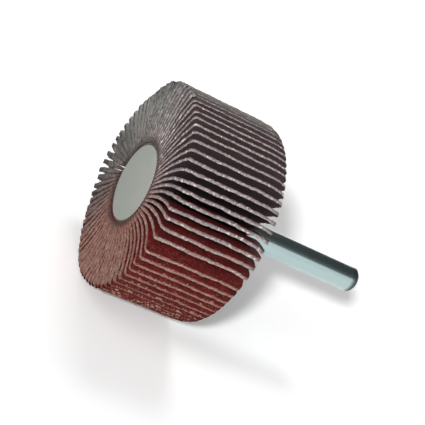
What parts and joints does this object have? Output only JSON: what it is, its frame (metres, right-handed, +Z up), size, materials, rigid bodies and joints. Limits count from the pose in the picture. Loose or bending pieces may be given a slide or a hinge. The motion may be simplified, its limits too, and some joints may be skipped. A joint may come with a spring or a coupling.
{
  "type": "flap wheel",
  "caption": "Mounted abrasive flap wheel: notched cloth flaps packed round a cast resin core on a plain cylindrical steel shank.",
  "frame": {"origin": "on the wheel's axis, where the shank leaves the rear face of the resin core", "axes": "+Y along the shank towards its free end, -Y out of the label face, +Z up with the wheel lying on its flap tips"},
  "size_m": [0.05, 0.0625, 0.05],
  "materials": {
    "steel": "ground, bright",
    "resin": "cast, matte",
    "label": "uncoated, matte",
    "abrasive_cloth": "red-brown resin-bonded grain on dark grey cloth"
  },
  "bodies": {
    "root": {"shank": "steel", "resin_core": "resin", "label_disc": "label", "flap_pair_01": "abrasive_cloth", "flap_pair_02": "abrasive_cloth", "flap_pair_03": "abrasive_cloth", "flap_pair_04": "abrasive_cloth", "flap_pair_05": "abrasive_cloth", "flap_pair_06": "abrasive_cloth", "flap_pair_07": "abrasive_cloth", "flap_pair_08": "abrasive_cloth", "flap_pair_09": "abrasive_cloth", "flap_pair_10": "abrasive_cloth", "flap_pair_11": "abrasive_cloth", "flap_pair_12": "abrasive_cloth", "flap_pair_13": "abrasive_cloth", "flap_pair_14": "abrasive_cloth", "flap_pair_15": "abrasive_cloth", "flap_pair_16": "abrasive_cloth", "flap_pair_17": "abrasive_cloth", "flap_pair_18": "abrasive_cloth", "flap_pair_19": "abrasive_cloth", "flap_pair_20": "abrasive_cloth", "flap_pair_21": "abrasive_cloth", "flap_pair_22": "abrasive_cloth", "flap_pair_23": "abrasive_cloth", "flap_pair_24": "abrasive_cloth", "flap_pair_25": "abrasive_cloth", "flap_pair_26": "abrasive_cloth", "flap_pair_27": "abrasive_cloth", "flap_pair_28": "abrasive_cloth", "flap_pair_29": "abrasive_cloth", "flap_pair_30": "abrasive_cloth", "flap_pair_31": "abrasive_cloth", "flap_pair_32": "abrasive_cloth", "flap_pair_33": "abrasive_cloth", "flap_pair_34": "abrasive_cloth", "flap_pair_35": "abrasive_cloth", "flap_pair_36": "abrasive_cloth"}
  },
  "joints": []
}
